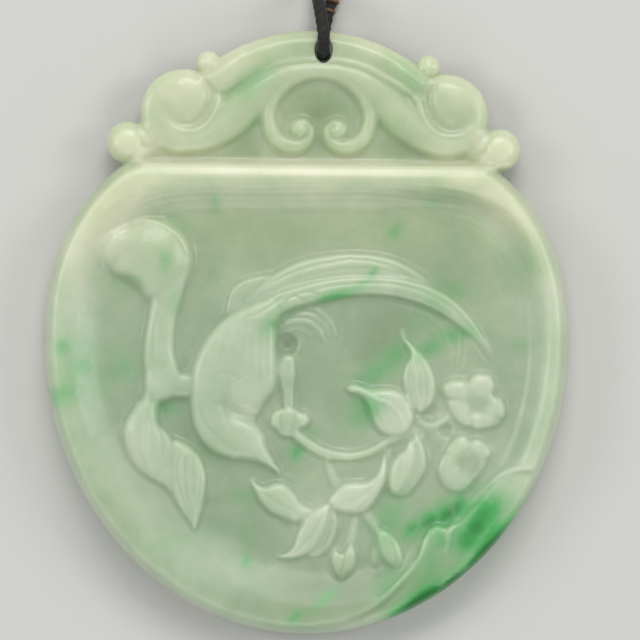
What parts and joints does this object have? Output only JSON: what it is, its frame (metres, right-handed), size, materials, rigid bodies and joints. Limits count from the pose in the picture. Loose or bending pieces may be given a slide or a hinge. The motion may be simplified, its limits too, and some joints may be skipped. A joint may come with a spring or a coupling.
{
  "type": "jade bird carving",
  "caption": "Oval jade pendant plaque carved with a long-tailed bird, leaves and blossoms in a sunk field, under a scrolled crown with a cord hole, on a black cord.",
  "frame": {"origin": "middle of the plaque's length and width, at its flat back", "axes": "+X to the right of the carved face, +Y up the carving to the crown, +Z out of the carved face"},
  "size_m": [0.0526, 0.0856, 0.0066],
  "materials": {
    "jade": "polished pale green stone",
    "cord": "twisted black thread"
  },
  "bodies": {
    "root": {"jade_plaque": "jade", "cord": "cord", "cord_knot": "cord"}
  },
  "joints": []
}
